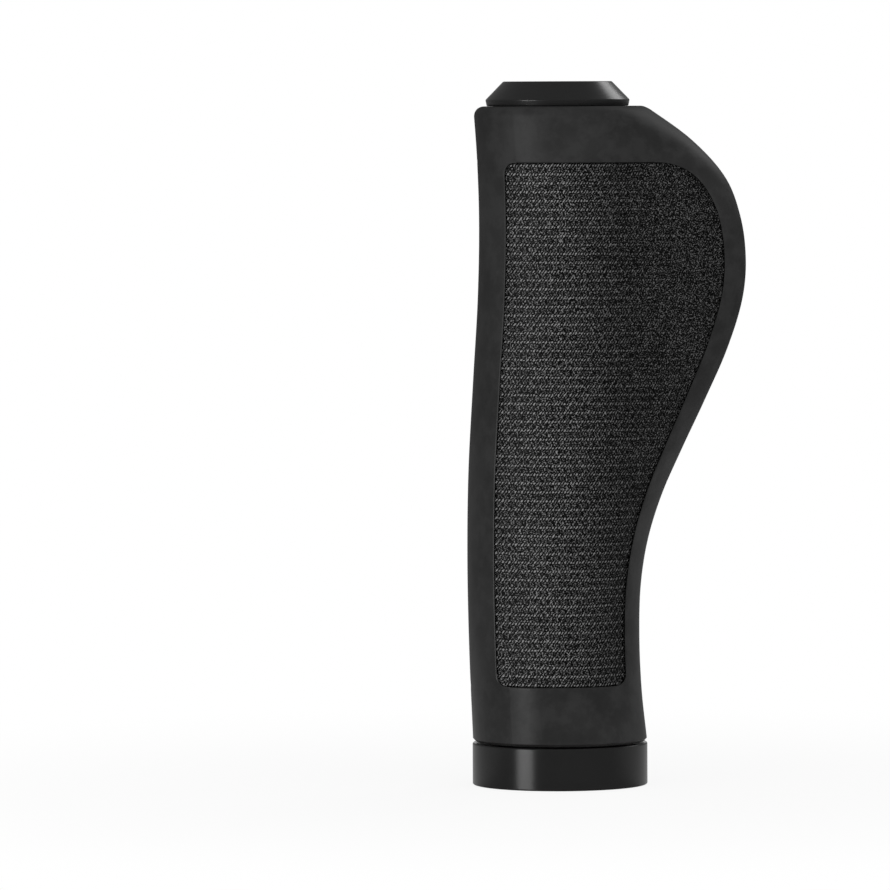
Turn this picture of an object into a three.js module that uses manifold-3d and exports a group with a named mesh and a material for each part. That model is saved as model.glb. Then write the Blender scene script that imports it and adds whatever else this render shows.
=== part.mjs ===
// Handlebar grip with a palm wing, one clamp ring and an end cap.
// Millimetres. +Z runs along the bar towards its capped end, +X points to the wing and
// -Y faces the palm. The origin is on the bar's axis, in the clamp ring's end face.

import * as THREE from 'three';
import { mergeVertices } from 'three/addons/utils/BufferGeometryUtils.js';
import Module from 'manifold-3d';

const wasm = await Module();
wasm.setup();

// The bar that the grip goes on, and the room left between pieces
const BAR_RADIUS = 11.1;
const BAR_WALL = 2.0;
const BAR_CLEARANCE = 0.1;
const PIECE_GAP = 0.3;

// Clamp ring
const RING_LENGTH = 8.0;
const RING_WALL = 5.45;
const RING_CHAMFER = 0.3;
const SLIT_WIDTH = 1.4;
const SLIT_OFFSET = 2.7;

// Clamp screw, with its axis across the bar
const SCREW_RADIUS = 1.0;
const SCREW_CLEARANCE = 0.15;
const SCREW_WEB = 0.3;
const SHANK_LENGTH = 16.4;
const HEAD_RADIUS = 1.6;
const HEAD_LENGTH = 2.0;
const HEAD_SEAT = 8.4;
const HEAD_CLEARANCE = 0.35;
const HEX_ACROSS_FLATS = 1.5;
const HEX_DEPTH = 1.1;
const SCREW_CHAMFER = 0.2;

// Core sleeve, with the lugs that key it to the ring
const SLEEVE_WALL = 1.0;
const LUG_COUNT = 3;
const LUG_WIDTH = 6.0;
const LUG_LENGTH = 2.2;
const LUG_START = -Math.PI / 2;

// Rubber body. Each outline gives the rubber's thickness over the sleeve, in pairs of
// share of the rubber's length and thickness, from the ring's end to the cap's end.
const RUBBER_LENGTH = 120.7;
const TOP_ROUNDING = 2.0;
const SHOULDER_ROUNDING = 0.8;
const LOW_CHAMFER = 0.5;
const FRONT_OUTLINE = [
  [0, 4.05], [0.14, 4.7], [0.28, 5.0], [0.42, 4.75], [0.57, 3.75],
  [0.7, 2.8], [0.82, 2.5], [0.92, 2.85], [1, 3.5],
];
const UNDERSIDE_OUTLINE = [
  [0, 4.1], [0.25, 4.1], [0.45, 3.5], [0.6, 2.8], [0.74, 2.4], [0.84, 2.8], [1, 3.75],
];
const PALM_OUTLINE = [
  [0, 4.1], [0.14, 4.35], [0.4, 5.0], [0.57, 4.6], [0.75, 3.85], [0.9, 3.35], [1, 3.5],
];
const WING_OUTLINE = [
  [0, 4.1], [0.08, 3.1], [0.17, 2.7], [0.25, 3.05], [0.32, 4.45],
  [0.39, 7.1], [0.46, 10.8], [0.54, 15.3], [0.62, 19.5], [0.7, 22.4],
  [0.76, 23.0], [0.83, 21.9], [0.89, 19.0], [0.95, 12.4], [1, 4.15],
];

// Wing section: how far its tip lies towards the palm, and how its faces round off there
const TIP_DROP = 6.5;
const TIP_PALM_ROUND = 5.5;
const TIP_UNDER_ROUND = 3.3;
const PALM_FLATNESS = 0.67;

// Wing root, where the wing's underside turns into the barrel: its place as shares of the
// underside's reach, the direction of the outline there in degrees, with a wing and on a
// round bar, and its two handles
const ROOT_ACROSS = 0.95;
const ROOT_HEIGHT = 0.44;
const ROOT_ANGLE = 128;
const ROUND_ROOT_ANGLE = 135;
const ROOT_WING_HANDLE = 9.0;
const ROOT_BARREL_HANDLE = 0.38;

// Finger ribs on the underside: grooves cut square across it
const GROOVE_PITCH = 2.0;
const GROOVE_WIDTH = 0.95;
const GROOVE_DEPTH = 1.9;
const GROOVE_END_MARGIN = 9.8;
const GROOVE_FIELD_EDGE = 8.8;
const GROOVE_FIELD_CORNER = 1.8;

// Palm panel, let into a recess in the rubber
const PANEL_THICKNESS = 1.0;
const PANEL_STEP = 0.45;
const PANEL_LOW_MARGIN = 11.5;
const PANEL_HIGH_MARGIN = 10.9;
const PANEL_FRONT_MARGIN = 5.4;
const PANEL_WAIST_MARGIN = 3.05;
const PANEL_WING_MARGIN = 4.3;
const PANEL_CORNER = 2.2;
const PANEL_WING_CORNER = 9.0;
const WING_CORNER_RUN = 1.3;
const MARGIN_SLOPE_REACH = 0.5;

// End cap: a cone on a rim, with a hollow plug that goes into the bar
const CAP_OVERLAP = 2.6;
const CAP_RIM = 0.9;
const CAP_CONE_HEIGHT = 3.5;
const CAP_CONE_SLOPE = 3.4;
const PLUG_LENGTH = 18.0;
const PLUG_WALL = 1.6;
const PLUG_CLEARANCE = 0.4;
const PLUG_LEAD = 1.2;
const PLUG_RIB_RISE = 0.25;
const PLUG_RIB_WIDTH = 1.4;
const PLUG_RIB_COUNT = 3;

// Worked out from the sizes above
const boreRadius = BAR_RADIUS + BAR_CLEARANCE;
const ringRadius = boreRadius + RING_WALL;
const sleeveRadius = boreRadius + SLEEVE_WALL;
const rubberBore = sleeveRadius + PIECE_GAP;
const rubberLow = RING_LENGTH + PIECE_GAP;
const rubberHigh = rubberLow + RUBBER_LENGTH;
const capSeat = rubberHigh + PIECE_GAP;
const capRadius = BAR_RADIUS + CAP_OVERLAP;
const screwHole = SCREW_RADIUS + SCREW_CLEARANCE;
const screwLine = boreRadius + SCREW_WEB + screwHole;
const recessDepth = PANEL_STEP + PANEL_THICKNESS + PIECE_GAP;
const grooveCount = Math.floor(
  (RUBBER_LENGTH - 2 * GROOVE_END_MARGIN - GROOVE_WIDTH) / GROOVE_PITCH,
) + 1;
const grooveFieldLength = (grooveCount - 1) * GROOVE_PITCH + GROOVE_WIDTH;
const grooveFieldLow = rubberLow + (RUBBER_LENGTH - grooveFieldLength) / 2;

// How far a cutter runs past the face that it cuts, and a joined lug into its sleeve
const OVERSHOOT = 1.0;

// Facets of the round pieces, and columns of each stretch of the body's section
const ROUND_FACETS = 40;
const SCREW_FACETS = 20;
const PANEL_CORNER_FACETS = 6;
const FIELD_CORNER_FACETS = 4;
const LUG_FACETS = 4;
const SECTION_COLUMNS = [7, 4, 6, 7, 10];
const GROOVES_PER_ROW = 3;
const ROUNDING_ROWS = 3;
const QUARTER_HANDLE = 0.5523;
const EIGHTH_HANDLE = 0.2652;

// Booleans: a closed geometry as a solid, and a solid as a geometry
function toSolid(geometry) {
  geometry.deleteAttribute('normal');
  geometry.deleteAttribute('uv');
  const merged = mergeVertices(geometry);
  return new wasm.Manifold(new wasm.Mesh({
    numProp: 3,
    vertProperties: merged.attributes.position.array,
    triVerts: merged.index.array,
  }));
}

function toGeometry(solid) {
  const mesh = solid.getMesh();
  const geometry = new THREE.BufferGeometry();
  geometry.setAttribute('position', new THREE.BufferAttribute(mesh.vertProperties, 3));
  geometry.setIndex(new THREE.BufferAttribute(mesh.triVerts, 1));
  geometry.computeVertexNormals();
  return geometry;
}

// Round pieces about the bar's axis, from an outline of radius and height
function turned(outline, facets = ROUND_FACETS) {
  const points = outline.map(([radius, height]) => new THREE.Vector2(radius, height));
  return new THREE.LatheGeometry(points, facets).rotateX(Math.PI / 2);
}

function cylinder(radius, low, high, facets = ROUND_FACETS) {
  return turned([[0, low], [radius, low], [radius, high], [0, high]], facets);
}

// A cylinder across the bar, along X, on the screw's line
function crossCylinder(radius, from, to, facets = SCREW_FACETS) {
  return cylinder(radius, from, to, facets)
    .rotateY(Math.PI / 2)
    .translate(0, screwLine, RING_LENGTH / 2);
}

// A value that runs smoothly through pairs of share and value
function outlineCurve(pairs) {
  const shares = pairs.map(([share]) => share);
  const values = pairs.map(([, value]) => value);
  const curve = new THREE.CubicInterpolant(shares, values, 1, new Float64Array(1));
  return (share) => curve.evaluate(share)[0];
}

const frontThickness = outlineCurve(FRONT_OUTLINE);
const undersideThickness = outlineCurve(UNDERSIDE_OUTLINE);
const palmThickness = outlineCurve(PALM_OUTLINE);
const wingThickness = outlineCurve(WING_OUTLINE);
const widestWing = Math.max(...WING_OUTLINE.map(([, thickness]) => thickness));
const barrelThickness = WING_OUTLINE[0][1];

// How far the body's edge is drawn in near its two ends, by the rounding and the chamfer
function edgeInset(height, rounding) {
  const intoRounding = THREE.MathUtils.clamp(height - (rubberHigh - rounding), 0, rounding);
  const intoChamfer = Math.max(0, rubberLow + LOW_CHAMFER - height);
  return rounding - Math.sqrt(rounding ** 2 - intoRounding ** 2) + intoChamfer;
}

// The body's reach to each side of the bar's axis at one height, and its share of wing
function bodyAt(height, inset = 0) {
  const share = (height - rubberLow) / RUBBER_LENGTH;
  const start = rubberBore - inset;
  const edge = edgeInset(height, TOP_ROUNDING);
  const wing = THREE.MathUtils.clamp(
    (wingThickness(share) - barrelThickness) / (widestWing - barrelThickness), 0, 1,
  );
  return {
    wing,
    front: start + frontThickness(share) - edge,
    underside: start + undersideThickness(share) - edge,
    palm: start + palmThickness(share) - edge,
    reach: start + wingThickness(share) - edgeInset(height, SHOULDER_ROUNDING),
  };
}

// One section across the body, as a ring of points that starts at the wing's tip and
// runs by the underside, the front and the palm. A wing's share of 0 gives a round bar.
function bodySection(height, inset) {
  const { wing, front, underside, palm, reach } = bodyAt(height, inset);
  const { lerp, degToRad } = THREE.MathUtils;
  const tip = -TIP_DROP * wing;
  const palmLip = lerp(QUARTER_HANDLE * palm, TIP_PALM_ROUND - inset, wing);
  const underLip = lerp(EIGHTH_HANDLE * underside, TIP_UNDER_ROUND - inset, wing);
  const angle = degToRad(lerp(ROUND_ROOT_ANGLE, ROOT_ANGLE, wing));
  const root = new THREE.Vector2(
    lerp(reach * Math.SQRT1_2, underside * ROOT_ACROSS, wing),
    lerp(underside * Math.SQRT1_2, underside * ROOT_HEIGHT, wing),
  );
  const before = lerp(EIGHTH_HANDLE * reach, ROOT_WING_HANDLE, wing);
  const after = lerp(EIGHTH_HANDLE, ROOT_BARREL_HANDLE, wing) * underside;
  const [cos, sin] = [Math.cos(angle), Math.sin(angle)];
  const path = new THREE.Path();
  path.moveTo(reach, tip);
  path.bezierCurveTo(
    reach, tip + underLip, root.x - before * cos, root.y - before * sin, root.x, root.y,
  );
  path.bezierCurveTo(
    root.x + after * cos, root.y + after * sin, after, underside, 0, underside,
  );
  path.bezierCurveTo(
    -QUARTER_HANDLE * front, underside, -front, QUARTER_HANDLE * underside, -front, 0,
  );
  path.bezierCurveTo(
    -front, -QUARTER_HANDLE * palm, -QUARTER_HANDLE * front, -palm, 0, -palm,
  );
  path.bezierCurveTo(
    lerp(QUARTER_HANDLE, PALM_FLATNESS, wing) * reach, -palm, reach, tip - palmLip, reach, tip,
  );
  return path.curves.flatMap((curve, i) => curve.getPoints(SECTION_COLUMNS[i]).slice(0, -1));
}

// Heights of the body's rows of points: between the ribs, and closer in the end rounding
function bodyHeights() {
  const heights = [rubberLow, rubberLow + LOW_CHAMFER];
  const firstRib = grooveFieldLow + (GROOVE_WIDTH - GROOVE_PITCH) / 2;
  const step = GROOVES_PER_ROW * GROOVE_PITCH;
  heights.push((firstRib + rubberLow) / 2);
  const rows = Math.ceil(grooveFieldLength / step);
  for (let row = 0; row <= rows; row += 1) {
    heights.push(firstRib + row * step);
  }
  heights.push((heights.at(-1) + rubberHigh - TOP_ROUNDING) / 2);
  for (let row = 0; row <= ROUNDING_ROWS; row += 1) {
    const turn = (row / ROUNDING_ROWS) * (Math.PI / 2);
    heights.push(rubberHigh - TOP_ROUNDING + TOP_ROUNDING * Math.sin(turn));
  }
  return heights;
}

// The body as a cylinder whose rows and columns of points are moved onto the sections
function bodyLoft(inset) {
  const heights = bodyHeights();
  const sections = heights.map((height) => bodySection(height, inset));
  const columns = sections[0].length;
  const rows = heights.length - 1;
  const geometry = new THREE.CylinderGeometry(1, 1, 1, columns, rows);
  geometry.deleteAttribute('normal');
  geometry.deleteAttribute('uv');
  const loft = mergeVertices(geometry);
  const position = loft.attributes.position;
  for (let i = 0; i < position.count; i += 1) {
    const [x, y, z] = [position.getX(i), position.getY(i), position.getZ(i)];
    const row = Math.round((y + 0.5) * rows);
    const turn = Math.atan2(x, z) / (2 * Math.PI);
    const column = (Math.round(turn * columns) + columns) % columns;
    const onAxis = Math.hypot(x, z) < 0.5;
    const point = onAxis ? new THREE.Vector2() : sections[row][column];
    position.setXYZ(i, point.x, point.y, heights[row]);
  }
  return toSolid(loft);
}

// The panel's outline seen from the palm. It follows the body's front and wing at their
// margins; grow widens it on every side, for the recess.
function panelPrism(grow) {
  const low = rubberLow + PANEL_LOW_MARGIN - grow;
  const high = rubberHigh - PANEL_HIGH_MARGIN + grow;
  const corner = PANEL_CORNER + grow;
  const wingCorner = PANEL_WING_CORNER + grow;
  const frontEdge = (height) => -(bodyAt(height).front - PANEL_FRONT_MARGIN + grow);
  const wingEdge = (height) => {
    const { wing, reach } = bodyAt(height);
    const rise = bodyAt(height + MARGIN_SLOPE_REACH).reach - bodyAt(height - MARGIN_SLOPE_REACH).reach;
    const slope = rise / (2 * MARGIN_SLOPE_REACH);
    const margin = THREE.MathUtils.lerp(PANEL_WAIST_MARGIN, PANEL_WING_MARGIN, wing);
    return reach - (margin - grow) * Math.hypot(1, slope);
  };
  const steps = Math.ceil((high - low) / (2 * GROOVE_PITCH));
  const shape = new THREE.Shape();
  shape.moveTo(frontEdge(low) + corner, low);
  shape.lineTo(wingEdge(low) - corner, low);
  shape.quadraticCurveTo(wingEdge(low), low, wingEdge(low + corner), low + corner);
  const wingTop = high - wingCorner;
  for (let i = 1; i <= steps; i += 1) {
    const height = THREE.MathUtils.lerp(low + corner, wingTop, i / steps);
    shape.lineTo(wingEdge(height), height);
  }
  shape.bezierCurveTo(
    wingEdge(high - wingCorner / 2), high - wingCorner / 2,
    wingEdge(wingTop) - wingCorner / 2, high,
    wingEdge(wingTop) - WING_CORNER_RUN * wingCorner, high,
  );
  shape.lineTo(frontEdge(high) + corner, high);
  shape.quadraticCurveTo(frontEdge(high), high, frontEdge(high - corner), high - corner);
  for (let i = 1; i <= steps; i += 1) {
    const height = THREE.MathUtils.lerp(high - corner, low + corner, i / steps);
    shape.lineTo(frontEdge(height), height);
  }
  shape.quadraticCurveTo(frontEdge(low), low, frontEdge(low) + corner, low);
  return new THREE.ExtrudeGeometry(shape, {
    depth: 2 * ringRadius, bevelEnabled: false, curveSegments: PANEL_CORNER_FACETS,
  }).rotateX(Math.PI / 2).translate(0, -TIP_DROP, 0);
}

// The ribs' grooves: slabs across the underside, inside a field with rounded corners
function grooveCutters() {
  const span = 2 * ringRadius;
  let slabs = null;
  for (let i = 0; i < grooveCount; i += 1) {
    const slab = toSolid(new THREE.BoxGeometry(span, span, GROOVE_WIDTH).translate(
      0, span / 2, grooveFieldLow + GROOVE_WIDTH / 2 + i * GROOVE_PITCH,
    ));
    slabs = slabs ? slabs.add(slab) : slab;
  }
  const [low, high] = [grooveFieldLow, grooveFieldLow + grooveFieldLength];
  const [below, above] = [low - OVERSHOOT, high + OVERSHOOT];
  const [edge, corner] = [GROOVE_FIELD_EDGE, GROOVE_FIELD_CORNER];
  const field = new THREE.Shape();
  field.moveTo(span, below);
  field.lineTo(span, above);
  field.lineTo(edge + corner, above);
  field.lineTo(edge + corner, high);
  field.quadraticCurveTo(edge, high, edge, high - corner);
  field.lineTo(edge, low + corner);
  field.quadraticCurveTo(edge, low, edge + corner, low);
  field.lineTo(edge + corner, below);
  const turn = new THREE.Matrix4().makeBasis(
    new THREE.Vector3(0, 1, 0), new THREE.Vector3(0, 0, 1), new THREE.Vector3(1, 0, 0),
  );
  const prism = new THREE.ExtrudeGeometry(field, {
    depth: 2 * span, bevelEnabled: false, curveSegments: FIELD_CORNER_FACETS,
  }).translate(0, 0, -span).applyMatrix4(turn);
  return slabs.intersect(toSolid(prism)).subtract(bodyLoft(GROOVE_DEPTH));
}

function rubberBody() {
  const bore = cylinder(rubberBore, rubberLow - OVERSHOOT, rubberHigh + OVERSHOOT);
  const recess = toSolid(panelPrism(PIECE_GAP)).subtract(bodyLoft(recessDepth));
  return toGeometry(bodyLoft(0)
    .subtract(toSolid(bore))
    .subtract(recess)
    .subtract(grooveCutters()));
}

function palmPanel() {
  return toGeometry(toSolid(panelPrism(0))
    .intersect(bodyLoft(PANEL_STEP))
    .subtract(bodyLoft(PANEL_STEP + PANEL_THICKNESS)));
}

// A piece of a ring about the bar's axis, between two radii and two heights
function ringSector(inner, outer, middle, width, low, high) {
  const half = width / 2 / outer;
  const shape = new THREE.Shape();
  shape.absarc(0, 0, outer, middle - half, middle + half, false);
  shape.absarc(0, 0, inner, middle + half, middle - half, true);
  return new THREE.ExtrudeGeometry(shape, {
    depth: high - low, bevelEnabled: false, curveSegments: LUG_FACETS,
  }).translate(0, 0, low);
}

function lugAngles() {
  return Array.from({ length: LUG_COUNT }, (_, i) => LUG_START + (i * 2 * Math.PI) / LUG_COUNT);
}

function coreSleeve() {
  let sleeve = toSolid(cylinder(sleeveRadius, rubberLow, rubberHigh));
  for (const angle of lugAngles()) {
    sleeve = sleeve.add(toSolid(ringSector(
      BAR_RADIUS, sleeveRadius, angle, LUG_WIDTH,
      rubberLow - LUG_LENGTH, rubberLow + OVERSHOOT,
    )));
  }
  const lugEnd = rubberLow - LUG_LENGTH;
  const bore = cylinder(boreRadius, lugEnd - OVERSHOOT, rubberHigh + OVERSHOOT);
  return toGeometry(sleeve.subtract(toSolid(bore)));
}

function clampRing() {
  const [outer, chamfer] = [ringRadius, RING_CHAMFER];
  let ring = toSolid(turned([
    [0, 0], [outer - chamfer, 0], [outer, chamfer],
    [outer, RING_LENGTH - chamfer], [outer - chamfer, RING_LENGTH], [0, RING_LENGTH],
  ]));
  ring = ring.subtract(toSolid(cylinder(boreRadius, -OVERSHOOT, RING_LENGTH + OVERSHOOT)));
  const pocketFloor = rubberLow - LUG_LENGTH - PIECE_GAP;
  for (const angle of lugAngles()) {
    ring = ring.subtract(toSolid(ringSector(
      BAR_RADIUS - OVERSHOOT, sleeveRadius + PIECE_GAP, angle, LUG_WIDTH + 2 * PIECE_GAP,
      pocketFloor, RING_LENGTH + OVERSHOOT,
    )));
  }
  const slit = new THREE.BoxGeometry(SLIT_WIDTH, 2 * RING_WALL, 2 * RING_LENGTH)
    .translate(-SLIT_OFFSET, boreRadius + RING_WALL / 2, RING_LENGTH / 2);
  const shankEnd = SHANK_LENGTH - HEAD_SEAT + PIECE_GAP;
  const hole = crossCylinder(screwHole, -HEAD_SEAT - OVERSHOOT, shankEnd);
  const counterbore = crossCylinder(
    HEAD_RADIUS + HEAD_CLEARANCE, -2 * ringRadius, PIECE_GAP - HEAD_SEAT,
  );
  return toGeometry(ring
    .subtract(toSolid(slit))
    .subtract(toSolid(hole))
    .subtract(toSolid(counterbore)));
}

// The screw is turned about Z with its head upwards, then laid across the ring
function clampScrew() {
  const bevel = SCREW_CHAMFER;
  const body = turned([
    [0, -SHANK_LENGTH], [SCREW_RADIUS - bevel, -SHANK_LENGTH], [SCREW_RADIUS, bevel - SHANK_LENGTH],
    [SCREW_RADIUS, 0], [HEAD_RADIUS, 0], [HEAD_RADIUS, HEAD_LENGTH - bevel],
    [HEAD_RADIUS - bevel, HEAD_LENGTH], [0, HEAD_LENGTH],
  ], SCREW_FACETS);
  const acrossCorners = HEX_ACROSS_FLATS / 2 / Math.cos(Math.PI / 6);
  const socket = cylinder(acrossCorners, HEAD_LENGTH - HEX_DEPTH, HEAD_LENGTH + OVERSHOOT, 6);
  return toGeometry(toSolid(body).subtract(toSolid(socket)));
}

function endCap() {
  const plug = BAR_RADIUS - BAR_WALL - PLUG_CLEARANCE;
  const inside = plug - PLUG_WALL;
  const ribs = [];
  for (let i = 0; i < PLUG_RIB_COUNT; i += 1) {
    const middle = -PLUG_LENGTH + ((i + 1) * PLUG_LENGTH) / (PLUG_RIB_COUNT + 1);
    ribs.push(
      [plug, middle - PLUG_RIB_WIDTH / 2], [plug + PLUG_RIB_RISE, middle],
      [plug, middle + PLUG_RIB_WIDTH / 2],
    );
  }
  return turned([
    [0, CAP_RIM], [inside, CAP_RIM], [inside, -PLUG_LENGTH],
    [plug - PLUG_LEAD / 2, -PLUG_LENGTH], [plug, PLUG_LEAD - PLUG_LENGTH],
    ...ribs,
    [plug, 0], [capRadius, 0], [capRadius, CAP_RIM],
    [capRadius - CAP_CONE_SLOPE, CAP_RIM + CAP_CONE_HEIGHT], [0, CAP_RIM + CAP_CONE_HEIGHT],
  ]);
}

function finish(color, roughness, metalness = 0) {
  return new THREE.MeshStandardMaterial({ color, roughness, metalness });
}

const grip = new THREE.Group();

function place(name, geometry, material) {
  const mesh = new THREE.Mesh(geometry, material);
  mesh.name = name;
  grip.add(mesh);
  return mesh;
}

place('rubber_body', rubberBody(), finish('#303030', 0.75));
place('palm_panel', palmPanel(), finish('#2a2a2a', 0.9));
place('core_sleeve', coreSleeve(), finish('#1c1c1c', 0.6));
place('clamp_ring', clampRing(), finish('#2b2b2b', 0.35, 0.8));
const screw = place('clamp_screw', clampScrew(), finish('#c9c9c9', 0.25, 1));
screw.rotation.y = -Math.PI / 2;
screw.position.set(-HEAD_SEAT, screwLine, RING_LENGTH / 2);
const cap = place('end_cap', endCap(), finish('#1f1f1f', 0.3));
cap.position.z = capSeat;

export default grip;
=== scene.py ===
"""Looks of a handlebar grip: a rubber barrel with a palm wing and finger ribs, a woven
palm panel, a clamp ring with its cross screw, a core sleeve and an end cap.

Sizes are in millimetres and turn into metres where a mesh is made. +Z runs along the bar
to the capped end, +X points to the wing, -Y faces the palm."""

import math

import bmesh
import bpy
import numpy as np
from mathutils import Matrix, Vector

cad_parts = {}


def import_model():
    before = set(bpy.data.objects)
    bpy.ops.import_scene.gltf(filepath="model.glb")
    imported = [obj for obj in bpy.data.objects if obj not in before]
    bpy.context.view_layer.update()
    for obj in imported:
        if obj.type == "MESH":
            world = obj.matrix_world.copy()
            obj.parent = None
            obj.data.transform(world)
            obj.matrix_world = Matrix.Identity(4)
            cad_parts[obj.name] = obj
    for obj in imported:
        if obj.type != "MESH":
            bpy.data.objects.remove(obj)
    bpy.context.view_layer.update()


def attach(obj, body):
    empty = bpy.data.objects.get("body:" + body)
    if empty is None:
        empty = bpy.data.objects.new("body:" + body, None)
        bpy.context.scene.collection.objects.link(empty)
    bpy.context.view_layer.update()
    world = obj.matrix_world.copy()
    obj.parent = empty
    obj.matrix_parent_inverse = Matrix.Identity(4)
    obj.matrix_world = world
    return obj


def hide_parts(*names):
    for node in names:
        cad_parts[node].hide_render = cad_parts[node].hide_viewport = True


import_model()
scene = bpy.context.scene
MM = 0.001
MERGE_DISTANCE = 1e-7

# Sizes of the solids
BAR_RADIUS = 11.1
BAR_WALL = 2.0
BORE_RADIUS = 11.2
PIECE_GAP = 0.3
RING_LENGTH = 8.0
RING_RADIUS = 16.65
SLEEVE_RADIUS = 12.2
LUG_WIDTH = 6.0
LUG_LENGTH = 2.2
LUG_ANGLES = [-90.0, 30.0, 150.0]
RUBBER_BORE = 12.5
RUBBER_LOW = 8.3
RUBBER_HIGH = 129.0
RUBBER_LENGTH = RUBBER_HIGH - RUBBER_LOW
CAP_SEAT = 129.3

# The rubber's thickness over the sleeve on each side, by share of its length
TOP_ROUNDING = 2.0
SHOULDER_ROUNDING = 0.8
LOW_CHAMFER = 0.5
FRONT_OUTLINE = [
    (0, 4.05), (0.14, 4.7), (0.28, 5.0), (0.42, 4.75), (0.57, 3.75),
    (0.7, 2.8), (0.82, 2.5), (0.92, 2.85), (1, 3.5),
]
UNDERSIDE_OUTLINE = [
    (0, 4.1), (0.25, 4.1), (0.45, 3.5), (0.6, 2.8), (0.74, 2.4), (0.84, 2.8), (1, 3.75),
]
PALM_OUTLINE = [
    (0, 4.1), (0.14, 4.35), (0.4, 5.0), (0.57, 4.6), (0.75, 3.85), (0.9, 3.35), (1, 3.5),
]
WING_OUTLINE = [
    (0, 4.1), (0.08, 3.1), (0.17, 2.7), (0.25, 3.05), (0.32, 4.45),
    (0.39, 7.1), (0.46, 10.8), (0.54, 15.3), (0.62, 19.5), (0.7, 22.4),
    (0.76, 23.0), (0.83, 21.9), (0.89, 19.0), (0.95, 12.4), (1, 4.15),
]
TIP_DROP = 6.5
TIP_PALM_ROUND = 5.5
TIP_UNDER_ROUND = 3.3
PALM_FLATNESS = 0.67
ROOT_ACROSS = 0.95
ROOT_HEIGHT = 0.44
ROOT_ANGLE = 128.0
ROUND_ROOT_ANGLE = 135.0
ROOT_WING_HANDLE = 9.0
ROOT_BARREL_HANDLE = 0.38
QUARTER_HANDLE = 0.5523
EIGHTH_HANDLE = 0.2652
# Half the height over which the wing's slope is taken
SLOPE_REACH = 0.5

# Finger grooves. The shape pairs a distance from a groove's middle with a share of depth.
GROOVE_PITCH = 2.0
GROOVE_COUNT = 51
GROOVE_DEPTH = 1.9
FIRST_GROOVE = 18.65
FIELD_EDGE = 8.8
FIELD_CORNER = 1.8
FIELD_LOW = 18.175
FIELD_HIGH = 119.125
FIELD_MARGIN = 0.9
GROOVE_SHAPE = [(0.0, 1.0), (0.42, 1.0), (0.48, 0.08), (0.52, 0.02), (0.6, 0.0)]

# Palm panel and the recess that it lies in
PANEL_STEP = 0.45
PANEL_THICKNESS = 1.0
RECESS_DEPTH = 1.75
PANEL_LOW = 19.8
PANEL_HIGH = 118.1
PANEL_FRONT_MARGIN = 5.4
PANEL_WAIST_MARGIN = 3.05
PANEL_WING_MARGIN = 4.3
PANEL_CORNER = 2.2
PANEL_WING_CORNER = 9.0
WING_CORNER_RUN = 1.3
PANEL_REACH = 0.23
PANEL_SHOULDER = 0.18
PANEL_ROUNDING = 0.12
PANEL_ROLL = 0.15
PANEL_ROLL_REACH = 0.25
PANEL_UNEVENNESS = 0.035
PANEL_ROWS = 358
WEAVE_ROW = 1.66
WEAVE_STITCH = 0.565
WEAVE_RELIEF = 0.07
WING_TIGHTENING = 0.004

# Waves that make up the weave: times a stitch, times a row and share of the relief
THREADS = [
    (1, 2, 0.22), (0, 2, 0.09), (1, 3, 0.11), (-1, 1, 0.11), (1, 1, 0.1), (0, 3, 0.08),
    (0, 1, 0.08), (0.5, 1, 0.1), (-0.5, 1, 0.1),
]

# Clamp screw
SCREW_RADIUS = 1.0
SHANK_LENGTH = 16.4
HEAD_RADIUS = 1.6
HEAD_LENGTH = 2.0
HEAD_SEAT = 8.4
HEAD_CLEARANCE = 0.35
HEX_ACROSS_FLATS = 1.5
HEX_RADIUS = HEX_ACROSS_FLATS / math.sqrt(3)
HEX_DEPTH = 1.1
SCREW_HOLE = 1.15
SCREW_HOLE_WALL = 0.3
SCREW_LINE = BORE_RADIUS + SCREW_HOLE_WALL + SCREW_HOLE
THREAD_PITCH = 0.4
THREAD_DEPTH = 0.12
THREAD_START = 0.4
THREAD_END = 0.6

# Slit through the ring, and how far cutting shapes reach past what they cut
SLIT_WIDTH = 1.4
SLIT_OFFSET = 2.7
SLIT_REACH = 14.0
SLIT_MIDDLE = BORE_RADIUS + 4.0
OVERCUT = 1.0

# End cap
CAP_RADIUS = 13.7
CAP_RIM = 0.9
CAP_CONE_HEIGHT = 3.5
CAP_CONE_SLOPE = 3.4
PLUG_LENGTH = 18.0
PLUG_GAP = 0.4
PLUG_RADIUS = BAR_RADIUS - BAR_WALL - PLUG_GAP
PLUG_WALL = 1.6
PLUG_LEAD = 1.2
PLUG_RIB_RISE = 0.25
PLUG_RIB_WIDTH = 1.4
PLUG_RIBS = 3
FLANGE_DROP = 0.27
FLANGE_TAPER = 0.25

# Rounding of edges
RING_EDGE = 0.3
RING_CUT_EDGE = 0.07
SLEEVE_EDGE = 0.12
CAP_EDGE = 0.16


# Shapes of the rubber body

def outline_curve(pairs):
    """A smooth run through pairs of share and thickness, as a function of the share."""
    shares, values = (np.array(column, float) for column in zip(*pairs))
    last = len(shares) - 1

    def thickness(share):
        right = int(np.clip(np.searchsorted(shares, share, side="right"), 1, last))
        left = right - 1
        before = left - 1 if left > 0 else right
        after = right + 1 if right < last else left
        span = shares[right] - shares[left]
        lead = 0.5 * span / (shares[left] - shares[before])
        trail = 0.5 * span / (shares[after] - shares[right])
        p = min(max((share - shares[left]) / span, 0.0), 1.0)
        return (
            lead * (2 * p**2 - p - p**3) * values[before]
            + ((1 + lead) * p**3 - (1.5 + 2 * lead) * p**2 + (lead - 0.5) * p + 1) * values[left]
            + ((1.5 + trail) * p**2 - (1 + trail) * p**3 + 0.5 * p) * values[right]
            + trail * (p**3 - p**2) * values[after]
        )

    return thickness


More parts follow.
